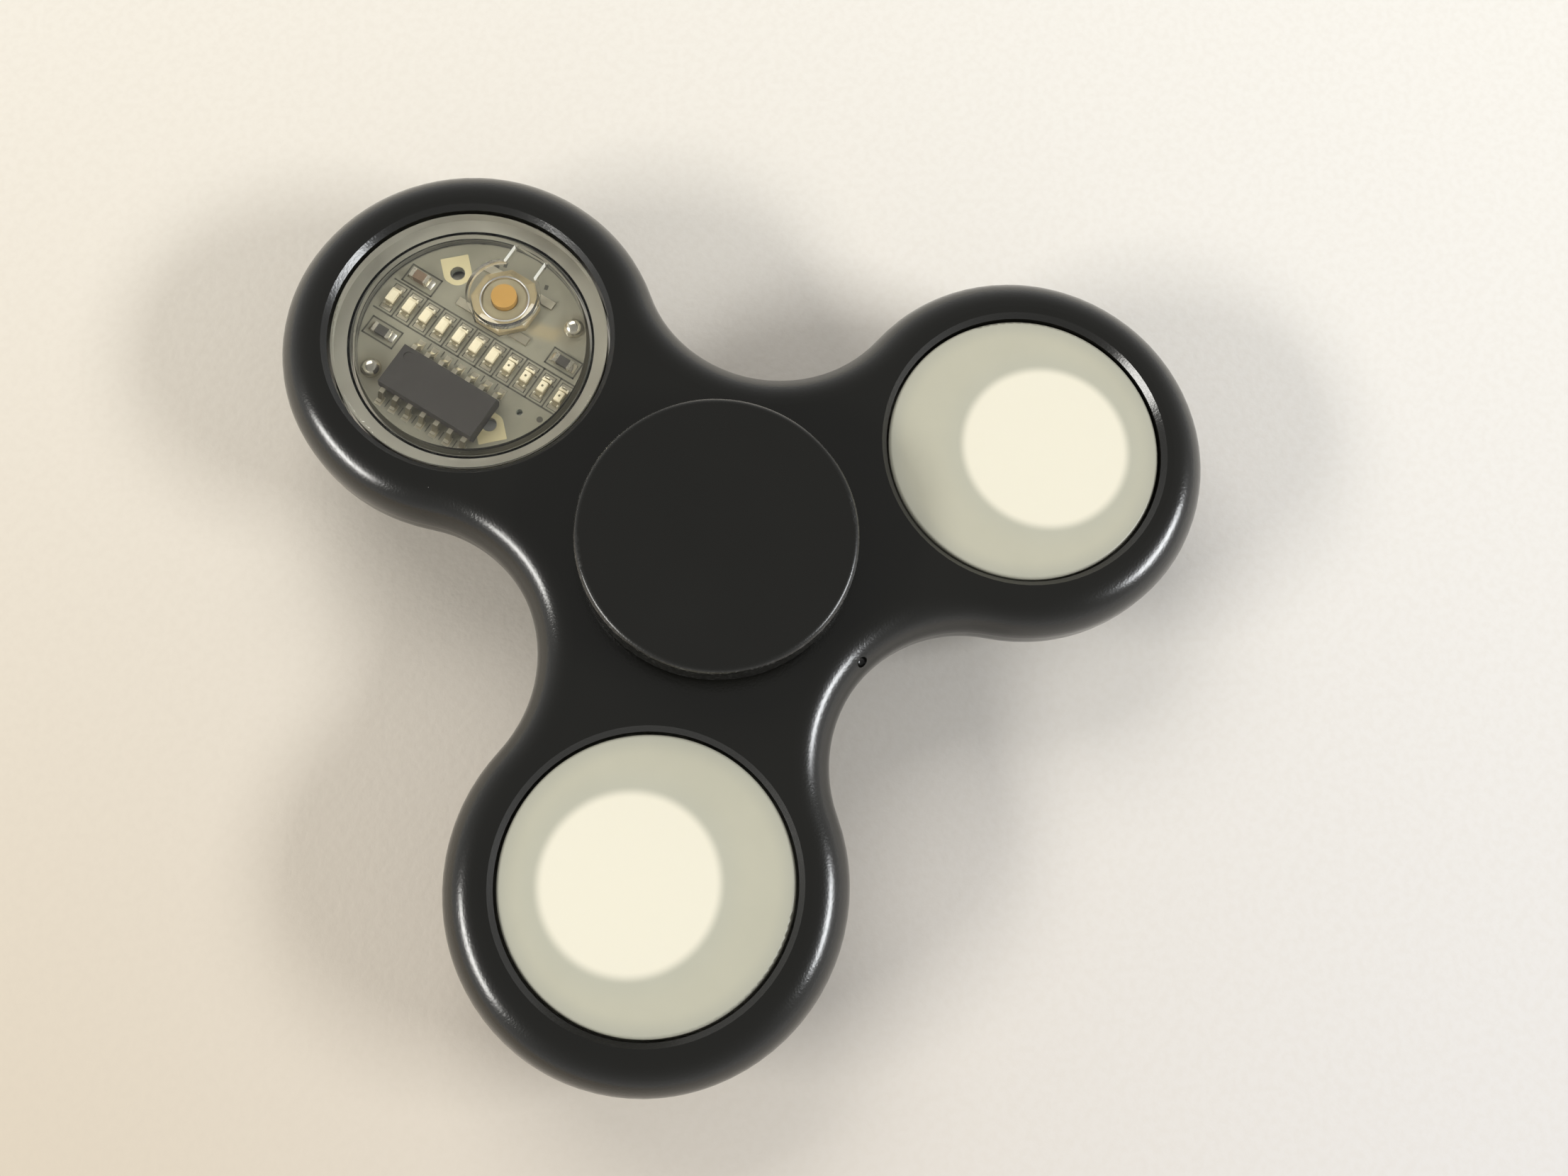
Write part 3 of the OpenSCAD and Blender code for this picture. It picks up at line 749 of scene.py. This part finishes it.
@dataclass
class Board(Assembly):
    """The circuit board with its print, pads and solder."""

    place: Matrix
    turn: float
    row_x: float = 0.15 * MM
    row_y: float = -0.17 * MM
    pitch: float = 1.592 * MM
    count: int = 11
    ink_h: float = 0.012 * MM
    pad_h: float = 0.02 * MM
    line_w: float = 0.13 * MM
    fine_w: float = 0.09 * MM
    print_r: float = 8.75 * MM
    rails: Point = (-1.28 * MM, 1.60 * MM)
    pad_x: float = 0.15 * MM
    bracket_x: float = 1.17 * MM
    bracket_l: float = 0.32 * MM
    bracket_half: float = 0.5 * MM
    dot_r: float = 0.085 * MM
    leads: int = 7
    lead_pitch: float = 1.27 * MM
    chip_y: float = -0.2 * MM
    lead_pads: Point = (-7.63 * MM, -2.07 * MM)
    lead_ticks: tuple[Point, Point] = ((-7.85 * MM, -7.20 * MM), (-2.02 * MM, -1.52 * MM))
    hole_r: float = 0.6 * MM
    spare_reach: float = 6.65 * MM
    spare_angles: Point = (45.0, 225.0)
    small_reach: float = 7.3 * MM
    fillet_y: float = 0.96 * MM
    solder_spots: tuple[Point, Point] = ((-5.79 * MM, 5.69 * MM), (5.54 * MM, -5.91 * MM))
    start_dot: tuple[float, float, float] = (-2.23 * MM, -7.81 * MM, 0.26 * MM)
    switch_corner: tuple[Point, ...] = ((2.42, -1.5), (1.98, -1.15), (1.98, 1.15), (2.6, 1.95))
    part_frames: tuple[tuple[float, float, float, float], ...] = (
        (1.85, 5.36, 3.45, 8.12), (-3.55, 5.38, -1.98, 8.18), (2.08, -8.08, 3.56, -5.42),
    )
    marks: tuple[tuple[float, float, float, float], ...] = (
        (7.45, 1.9, 0.5, 0.28), (7.55, -1.95, 0.42, 0.3), (6.9, 2.45, 0.3, 0.5),
    )
    small_parts: dict[str, float] = field(
        default_factory=lambda: {"capacitor": 68.6, "pullup": 112.2, "supply": -67.5}
    )

    def lamp_y(self, number: int) -> float:
        """Where light number, from 1, sits along the row."""
        return self.row_y + self.pitch * ((self.count + 1) / 2 - number)

    def build(self) -> None:
        """Dresses the board and adds print and pads."""
        mask = SolderMask("solder_mask", board=self.place, turn=self.turn, blobs=self.solder_spots)
        self.dress(mask, "circuit_board")
        self.dress(SOLDER, "solder_joints")
        self.dress(TIN, "chip_leads", "switch_feet")
        self.print_lines()
        self.bare_pads()
        self.tinned_pads()

    def line(self, ink: Form, points: Sequence[Point], width: float) -> None:
        """Prints a chain of strokes.

        Args:
            ink: the print.
            points: its corners in millimetres.
            width: how wide the line is.
        """
        for a, b in zip(points, points[1:]):
            ink.stroke((a[0] * MM, a[1] * MM), (b[0] * MM, b[1] * MM), width, self.ink_h)

    def print_lines(self) -> None:
        """The light row's ladder, the frames round small parts, and the marks at leads and switch."""
        ink = Form(self.place)
        w, h = self.line_w, self.ink_h
        for x in self.rails:
            end = math.sqrt(self.print_r**2 - x * x)
            ink.stroke((x, -end), (x, end), w, h)
        for number in range(1, self.count):
            y = (self.lamp_y(number) + self.lamp_y(number + 1)) / 2
            ink.stroke((self.rails[0], y), (self.rails[1], y), w, h)
        for x0, y0, x1, y1 in self.part_frames:
            self.line(ink, [(x0, y0), (x1, y0), (x1, y1), (x0, y1), (x0, y0)], w)
        for gap in range(self.leads - 1):
            y = self.chip_y + self.lead_pitch * (gap + 1 - self.leads / 2)
            for start, end in self.lead_ticks:
                ink.stroke((start, y), (end, y), 0.7 * w, h)
        self.line(ink, self.switch_corner, 0.8 * w)
        for x, y, wide, tall in self.marks:
            ink.block((wide * MM, tall * MM, h), (x * MM, y * MM, 0.0), 0.3)
        x, y, r = self.start_dot
        ink.post(r, h, (x, y, 0.0), 20)
        ink.finish("board_print", INK, Body.ROTOR)
        self.pad_outlines()

    def pad_outlines(self) -> None:
        """Thin brackets round both pads of each light, and a dot beside it."""
        fine = Form(self.place)
        w, h, half = self.fine_w, self.ink_h, self.bracket_half
        for number in range(1, self.count + 1):
            y = self.lamp_y(number)
            for end in (-1, 1):
                edge = self.pad_x + 0.01 * MM + end * self.bracket_x
                fine.stroke((edge, y - half), (edge, y + half), w, h)
                for across in (-half, half):
                    fine.stroke((edge, y + across), (edge - end * self.bracket_l, y + across), w, h)
            fine.post(self.dot_r, h, (0.62 * MM, y - 0.6 * MM, 0.0), 12)
        fine.finish("pad_outlines", INK, Body.ROTOR)

    def bare_pads(self) -> None:
        """The two bare pads round the spare holes, and the plating in the holes."""
        bore, skin, deep = self.hole_r - 0.002 * MM, self.hole_r - 0.03 * MM, -0.4 * MM
        for number, angle in enumerate(self.spare_angles, 1):
            out = Matrix.Translation((self.spare_reach, 0.0, 0.0))
            spot = self.place @ Matrix.Rotation(math.radians(angle), 4, "Z") @ out
            pad = Form(spot)
            edge = circle(self.hole_r + 0.005 * MM)
            reach, top = self.pad_reach, self.pad_h
            pad.rings([(edge, 0.0), (edge, top), (reach, top), (reach, 0.0), (edge, 0.0)], 144)
            pad.finish(f"bare_pad_{number}", BARE_PAD, Body.ROTOR)
            hole = Form(spot)
            outer, inner = circle(bore), circle(skin)
            hole.rings([(outer, top), (outer, deep), (inner, deep), (inner, top), (outer, top)], 40)
            hole.finish(f"plated_hole_{number}", TIN, Body.ROTOR)

    @staticmethod
    def pad_reach(angle: float) -> float:
        """How far a bare pad reaches from its hole: round on the inner side, square-cornered outside."""
        round_r, half, out = 1.05 * MM, 1.13 * MM, 1.5 * MM
        x, y = math.cos(angle), abs(math.sin(angle))
        if x <= 0:
            return round_r + (half - round_r) * max(0.0, y - 0.8) * 5 * 0.999
        return min(out / max(x, 1e-6), half / max(y, 1e-6))

    def tinned_pads(self) -> None:
        """Tinned pads under the lights and the chip's leads, and fillets at the small parts."""
        tin = Form(self.place)
        for number in range(1, self.count + 1):
            for end in (-1.0 * MM, 1.0 * MM):
                spot = (self.pad_x + end, self.lamp_y(number), 0.0)
                tin.block((0.34 * MM, 0.92 * MM, self.pad_h), spot)
        for x in self.lead_pads:
            for lead in range(self.leads):
                y = self.chip_y + self.lead_pitch * (lead - (self.leads - 1) / 2)
                tin.block((0.85 * MM, 0.62 * MM, self.pad_h), (x, y, 0.0))
        tin.finish("tinned_pads", TIN, Body.ROTOR)
        for name, angle in self.small_parts.items():
            self.fillets(name, math.radians(angle))

    def fillets(self, name: str, angle: float) -> None:
        """Solder wedges at both ends of a small part.

        Args:
            name: the part's short name.
            angle: where it stands on the circle of small parts.
        """
        x, y = self.small_reach * math.cos(angle), self.small_reach * math.sin(angle)
        form = Form(self.place)
        for end in (-1, 1):
            middle = y + end * self.fillet_y
            for vert in form.block((0.78 * MM, 0.36 * MM, 0.26 * MM), (x, middle, 0.0)):
                if vert.co.z > 0.1 * MM and (vert.co.y - middle) * end > 0:
                    vert.co.z = 0.04 * MM
        form.round([e for e in form.mesh.edges if e.calc_length() > 0.2 * MM], 0.05 * MM)
        form.finish(f"{name}_fillets", SOLDER, Body.ROTOR)


@dataclass
class SmallParts(Assembly):
    """The chip, the chip capacitor and the two resistors."""

    board: Board

    def build(self) -> None:
        """Dresses the chip, and gives each small part its tinned ends."""
        self.dress(CHIP_BODY, "controller_chip")
        for node, body in (
            ("chip_capacitor", (0.15, 0.10, 0.062)),
            ("pullup_resistor", (0.055, 0.05, 0.042)),
            ("supply_resistor", (0.055, 0.05, 0.042)),
        ):
            low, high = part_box(node)
            middle = tuple((low + high) / 2)
            self.dress(EndedPart(f"{node}_finish", centre=middle, turn=self.board.turn, body=body), node)


@dataclass
class LightRow(Assembly):
    """The eleven small lights."""

    board: Board
    half_l: float = 0.85 * MM
    half_w: float = 0.41 * MM
    carrier_h: float = 0.16 * MM
    top: float = 0.5 * MM
    lens_l: float = 1.0 * MM
    slim: float = 0.86
    head: tuple[float, float, float] = (0.2 * MM, 0.82 * MM, 0.17 * MM)
    corner_end: tuple[float, float, float] = (0.24 * MM, 0.2 * MM, 0.19 * MM)
    corner_y: float = 0.31 * MM
    middle_end: tuple[float, float, float] = (0.12 * MM, 0.5 * MM, 0.07 * MM)
    die_r: float = 0.1 * MM
    dotted_from: int = 8

    def build(self) -> None:
        """Builds each light in place of its solid, and all the tinned ends as one piece."""
        ends, dies, carriers = Form(self.board.place), Form(self.board.place), Form(self.board.place)
        carrier = (2 * self.half_l - 0.04 * MM, 1.96 * self.half_w, self.carrier_h)
        soft = 0.03 * MM
        for number in range(1, self.board.count + 1):
            y = self.board.lamp_y(number)
            self.light(number, y)
            carriers.block(carrier, (self.board.row_x, y, 0.0))
            for side in (-1, 1):
                x = self.board.row_x + side * (self.half_l - 0.11 * MM)
                for across in (self.corner_y, -self.corner_y):
                    ends.block(self.corner_end, (x, y + across, 0.0), 0.0, soft)
                ends.block(self.middle_end, (x + side * 0.16 * MM, y, 0.0), 0.0, 0.02 * MM)
            if number >= self.dotted_from:
                dies.post(self.die_r, 0.008 * MM, (self.board.row_x, y, self.top), 16)
        ends.finish("light_ends", TIN, Body.ROTOR, "solder")
        dies.finish("light_dies", LIGHT_DIE, Body.ROTOR)
        carriers.finish("light_carriers", CARRIER, Body.ROTOR, "light_body")

    def light(self, number: int, y: float) -> None:
        """One light's moulded lens with the wide head at one end."""
        form = Form(self.board.place)
        x, z = self.board.row_x, self.carrier_h
        slim = self.slim if number >= self.dotted_from else 1.0
        lens = (self.lens_l * slim, 1.7 * self.half_w * slim, self.top - z)
        form.block(lens, (x - 0.03 * MM, y, z), 0.0, 0.05 * MM)
        form.block(self.head, (x + 0.60 * MM, y, z - 0.01 * MM), 0.0, 0.03 * MM)
        node = f"light_{number:02d}"
        piece = form.finish(f"{node}_lens", LIGHT_BODY, Body.ROTOR, "light_body")
        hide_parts(node)


@dataclass
class PressSwitch(Assembly):
    """The press switch under the tongue."""

    board: Board
    middle: Point = (4.582 * MM, -0.05 * MM)
    half: float = 2.5 * MM
    base_z: float = 0.60 * MM
    rim_z: float = 0.98 * MM
    hole_r: float = 1.8 * MM
    lip_tube: float = 0.07 * MM
    film_in: float = 1.07 * MM
    film_out: float = 1.79 * MM
    crease: float = 14.0

    def build(self) -> None:
        """Dresses dome and plunger, and builds the folded cover, the base, the lip and the film."""
        self.dress(SHEET_STEEL, "switch_dome")
        self.dress(PLUNGER_AMBER, "switch_plunger")
        place = self.board.place @ Matrix.Translation((*self.middle, 0.0))
        self.cover(place)
        self.base(place)
        lip = Form(place)
        tube, reach = self.lip_tube, self.hole_r + 0.12 * MM
        turns = [math.tau * i / 10 for i in range(10)] + [0.0]
        lip.lathe([(reach + tube * math.cos(a), self.rim_z + tube * math.sin(a)) for a in turns], steps=64)
        lip.finish("switch_lip", SHEET_STEEL, Body.ROTOR)
        film = Form(place)
        inner, outer, low = circle(self.film_in), circle(self.film_out), 0.80 * MM
        film.rings(
            [
                (inner, low), (inner, 0.93 * MM), (circle(1.45 * MM), 0.92 * MM),
                (outer, 0.88 * MM), (outer, low), (inner, low),
            ]
        )
        film.finish("switch_film", SWITCH_FILM, Body.ROTOR)

    def cover(self, place: Matrix) -> None:
        """The eight-sided cover, which slopes up to its flat rim."""
        form = Form(place)
        hole = circle(self.hole_r)
        form.rings(
            [
                (hole, self.base_z), (hole, self.rim_z), (self.octagon(0.48 * MM), self.rim_z),
                (self.octagon(0.02 * MM), self.base_z + 0.04 * MM), (self.octagon(0.0), self.base_z),
                (hole, self.base_z),
            ]
        )
        piece = form.finish("switch_cover", SWITCH_CREAM, Body.ROTOR, "switch_plastic", self.crease)
        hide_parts("switch_frame")

    def base(self, place: Matrix) -> None:
        """The eight-sided base under the cover."""
        form = Form(place)
        hole, wall, top = circle(self.hole_r), self.octagon(-0.1 * MM), self.base_z - 0.002 * MM
        form.rings(
            [
                (hole, 0.0), (hole, top), (self.octagon(-0.06 * MM), top),
                (wall, self.base_z - 0.06 * MM), (wall, 0.0), (hole, 0.0),
            ]
        )
        piece = form.finish("switch_body", SWITCH_CREAM, Body.ROTOR, "switch_plastic", self.crease)
        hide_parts("switch_base")

    def octagon(self, inset: float) -> Outline:
        """The regular eight-sided outline of the switch, drawn in by an inset."""
        flat = self.half - inset

        def reach(angle: float) -> float:
            """How far the outline stands from the middle at an angle."""
            x, y = abs(math.cos(angle)), abs(math.sin(angle))
            return min(flat / max(x, 1e-9), flat / max(y, 1e-9), flat * math.sqrt(2) / (x + y))

        return reach


@dataclass
class Battery(Assembly):
    """The coin cell and its clip under the board."""

    rim: float = 0.22 * MM
    seal_in: float = 0.79 * MM
    seal_out: float = 0.54 * MM
    seal_z: float = 0.44 * MM

    def build(self) -> None:
        """Dresses clip and contact, and builds the cell with its crimped rim."""
        self.dress(SHEET_STEEL, "battery_clip", "battery_contact")
        low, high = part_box("coin_cell")
        r, z0, z1 = (high.x - low.x) / 2, low.z, high.z
        spot = Matrix.Translation(((low.x + high.x) / 2, (low.y + high.y) / 2, 0.0))
        b, step, mouth = self.rim, z0 + 0.03 * MM, r - 0.52 * MM
        can = Form(spot)
        can.lathe(
            [
                (0.0, z0), (r * 0.86, z0), (r * 0.88, step), (r - b, step),
                (r - 0.3 * b, z0 + 0.3 * b), (r, z0 + b), (r, z1 - 0.42 * MM), (r - 0.2 * MM, z1 - 0.3 * MM),
                (mouth, z1 - 0.3 * MM), (mouth, z1 - 0.45 * MM), (0.0, z1 - 0.45 * MM),
            ],
            steps=96,
        )
        piece = can.finish("cell_can", CELL_STEEL, Body.ROTOR, "cell_steel")
        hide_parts("coin_cell")
        lid = Form(spot)
        floor = z1 - self.seal_z
        lid.lathe(
            [
                (0.0, z1), (r - 1.1 * MM, z1), (r - 0.86 * MM, z1 - 0.12 * MM),
                (r - 0.8 * MM, floor), (0.0, floor),
            ],
            steps=96,
        )
        lid.finish("cell_lid", CELL_STEEL, Body.ROTOR, "cell_steel")
        seal = Form(spot)
        inner, outer, crest = r - self.seal_in, r - self.seal_out, z1 - 0.24 * MM
        seal.lathe(
            [(inner, floor), (inner, crest), (outer, crest), (outer, floor), (inner, floor)], steps=96
        )
        seal.finish("cell_seal", GASKET, Body.ROTOR)


@dataclass
class Capsule(Assembly):
    """The clear cup, its cover and the press tongue."""

    board: Board
    switch: PressSwitch
    pale_ring_w: float = 1.1 * MM
    skin_t: float = 0.02 * MM
    sunk: float = 0.04 * MM
    skin_from: float = 2.4 * MM
    neck_half: float = 1.3 * MM
    slot_w: float = 0.25 * MM
    neck: Point = (6.98 * MM, 8.55 * MM)

    def build(self) -> None:
        """Dresses the clear pieces, and adds the pale skins of painted reflection and the slot's cut edges,
        which also carry a painted glint.
        """
        self.dress(CLEAR, "clear_cup", "clear_cover", "press_tongue")
        self.reflection_skins()
        self.cut_faces_and_glints()

    def reflection_skins(self) -> None:
        """Pale skins just inside the clear plastic, a ring at the joint and a sleeve in the wall: a painted
        reflection of the light held inside the walls.
        """
        low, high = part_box("clear_cup")
        cover_low, cover_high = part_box("clear_cover")
        cup_r, cover_r = (high.x - low.x) / 2, (cover_high.x - cover_low.x) / 2
        thin, sunk, joint = self.skin_t, self.sunk, high.z
        skin = Form(Matrix.Translation((0.0, (low.y + high.y) / 2, 0.0)))
        # Painted reflection: pale sheets inside the clear plastic stand in for the light that the walls
        # reflect inward.
        for r0, r1, z0, z1 in (
            (cup_r - sunk - thin, cup_r - sunk, low.z + self.skin_from, joint - sunk),
            (cover_r - sunk - thin, cover_r - sunk, joint + sunk, cover_high.z - 0.3 * MM),
            (cover_r - self.pale_ring_w, cover_r - sunk, joint + sunk, joint + sunk + thin),
        ):
            skin.lathe([(r0, z0), (r1, z0), (r1, z1), (r0, z1), (r0, z0)], steps=128)
        skin.finish("capsule_reflection_skin", WALL_REFLECTION, Body.ROTOR)

    def cut_faces_and_glints(self) -> None:
        """The pale cut edges of the straight slots beside the tongue's neck, painted pale also as the glint
        that runs along the slot.
        """
        z0, z1 = (v.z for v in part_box("press_tongue"))
        start, end = self.neck
        size = (end - start, 0.02 * MM, z1 - z0 - 0.04 * MM)
        lift = z0 - self.board.place.translation.z + 0.02 * MM
        middle = self.switch.middle[1]
        # Pale strips along the slot: partly its cut faces, partly a painted glint.
        for name, y, body in (
            ("slot_edge", middle + self.neck_half + self.slot_w - 0.02 * MM, Body.ROTOR),
            ("tongue_edge", middle - self.neck_half - 0.012 * MM, Body.TONGUE),
        ):
            edge = Form(self.board.place)
            edge.block(size, ((start + end) / 2, y, lift))
            edge.finish(name, CUT_FACE_GLINT, body)


# ---- Studio ----


@dataclass
class Studio:
    """Camera, lamps, floor and surroundings."""

    eye: tuple[float, float, float] = (-0.0239656, -0.0181068, 0.1153777)
    ahead: tuple[float, float, float] = (0.2286, 0.1108, -0.9672)
    above: tuple[float, float, float] = (0.7268, 0.6416, 0.2453)
    lens: float = 32.76
    zenith: float = 0.25
    horizon: float = 0.86
    window_away: float = 0.72
    wall_away: float = 1.4
    floor_r: float = 0.62

    def build(self) -> None:
        """Sets everything up."""
        self.camera()
        near, far = self.window_away, self.wall_away
        self.lamp("window_right", (-60.0, 31.0, near), (0.34, 0.12), 3.2, (0.96, 0.985, 1.0))
        self.lamp("window_left", (150.0, 29.0, near), (0.36, 0.11), 3.0, (1.0, 0.985, 0.94))
        wall = self.lamp("far_wall", (62.0, 40.0, far), (1.2, 0.6), 8.5, (1.0, 0.985, 0.96))
        wall.visible_glossy = False
        self.surroundings()
        self.floor()

    def camera(self) -> None:
        """The camera at the viewer's place."""
        data = bpy.data.cameras.new("camera")
        data.lens, data.sensor_width = self.lens, 36.0
        data.clip_start, data.clip_end = 0.005, 20.0
        camera = bpy.data.objects.new("camera", data)
        back = -Vector(self.ahead).normalized()
        right = Vector(self.above).cross(back).normalized()
        up = back.cross(right)
        turn = Matrix((right, up, back)).transposed().to_4x4()
        camera.matrix_world = Matrix.Translation(self.eye) @ turn
        bpy.context.scene.collection.objects.link(camera)
        bpy.context.scene.camera = camera

    def lamp(
        self, name: str, spot: tuple[float, float, float], size: Point, power: float, colour: Colour
    ) -> bpy.types.Object:
        """A soft lamp that faces the spinner.

        Args:
            name: the lamp's name.
            spot: its bearing from +X towards +Y and its rise, in degrees, and its distance.
            size: its width and height.
            power: its power in watts.
            colour: its colour.

        Returns:
            The lamp.
        """
        data = bpy.data.lights.new(name, "AREA")
        data.shape = "RECTANGLE"
        data.size, data.size_y = size
        data.energy, data.color = power, colour
        lamp = bpy.data.objects.new(name, data)
        a, e = math.radians(spot[0]), math.radians(spot[1])
        at = spot[2] * Vector((math.cos(a) * math.cos(e), math.sin(a) * math.cos(e), math.sin(e)))
        lamp.matrix_world = Matrix.Translation(at) @ at.to_track_quat("Z", "Y").to_matrix().to_4x4()
        bpy.context.scene.collection.objects.link(lamp)
        return lamp

    def surroundings(self) -> None:
        """A pale room: brighter low down than overhead, and white where the camera sees it."""
        world = bpy.data.worlds.new("room")
        bpy.context.scene.world = world
        world.use_nodes = True
        p = Paint("room_maths", world.node_tree)
        _, _, z = p.axes(p.node("ShaderNodeTexCoord").outputs["Generated"])
        low = (1 - abs(z)) ** 2.0
        path = p.node("ShaderNodeLightPath").outputs
        seen = p.value(path["Is Camera Ray"])
        level = self.zenith + (self.horizon - self.zenith) * low
        level = level * (1 - seen) + seen
        room = p.node("ShaderNodeBackground", None, {0: (0.95, 0.945, 0.93), 1: level})
        p.node("ShaderNodeOutputWorld", None, {0: room.outputs[0]})

    def floor(self) -> None:
        """A wide sheet of pale paper under the spinner, with painted light falloff: darker and warmer
        towards one side, lighter far off.
        """
        p = Paint("floor_paper")
        x, y, _ = p.axes()
        # Painted light falloff: the paper is painted darker and warmer on one side and lighter towards the
        # far edge, as uneven light falls across it.
        side = (x * 0.65 - y * 0.76).ramp(-0.075, 0.075)
        far = (x * 0.73 + y * 0.64).ramp(-0.09, 0.09)
        grain = p.noise(0.0007, 4.0)
        tone = p.mix(side, (0.63, 0.535, 0.41), (0.72, 0.695, 0.68))
        tone = p.mix(far * 0.8, tone, (0.90, 0.87, 0.80))
        tone = p.mix(grain.ramp(0.35, 0.7) * 0.10, tone, (0.60, 0.53, 0.44))
        bump = p.bump(grain, 0.00003)
        paper = p.shade(Base_Color=tone, Roughness=0.9, Normal=bump, Specular_IOR_Level=0.1)
        mesh = bmesh.new()
        bmesh.ops.create_circle(mesh, cap_ends=True, segments=96, radius=self.floor_r)
        data = bpy.data.meshes.new("floor")
        mesh.to_mesh(data)
        mesh.free()
        data.materials.append(paper)
        floor = bpy.data.objects.new("floor", data)
        bpy.context.scene.collection.objects.link(floor)


def main() -> None:
    """Imports the model, then builds every sub-assembly and the studio."""
    logging.basicConfig(level=logging.INFO, format="%(name)s: %(message)s")
    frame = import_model()
    Assembly.nodes = frame["nodes"]
    bpy.context.scene.view_settings.view_transform = "Standard"
    turn = math.radians(BOARD_TURN)
    low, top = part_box("circuit_board")
    middle = (low + top) / 2
    place = Matrix.Translation((middle.x, middle.y, top.z)) @ Matrix.Rotation(turn, 4, "Z")
    board = Board(place, turn)
    switch = PressSwitch(board)
    for part in (
        Shell(), Bearing(), Weights(), board, SmallParts(board), LightRow(board), switch, Battery(),
        Capsule(board, switch),
    ):
        part.build()
    Studio().build()


if __name__ == "__main__":
    main()
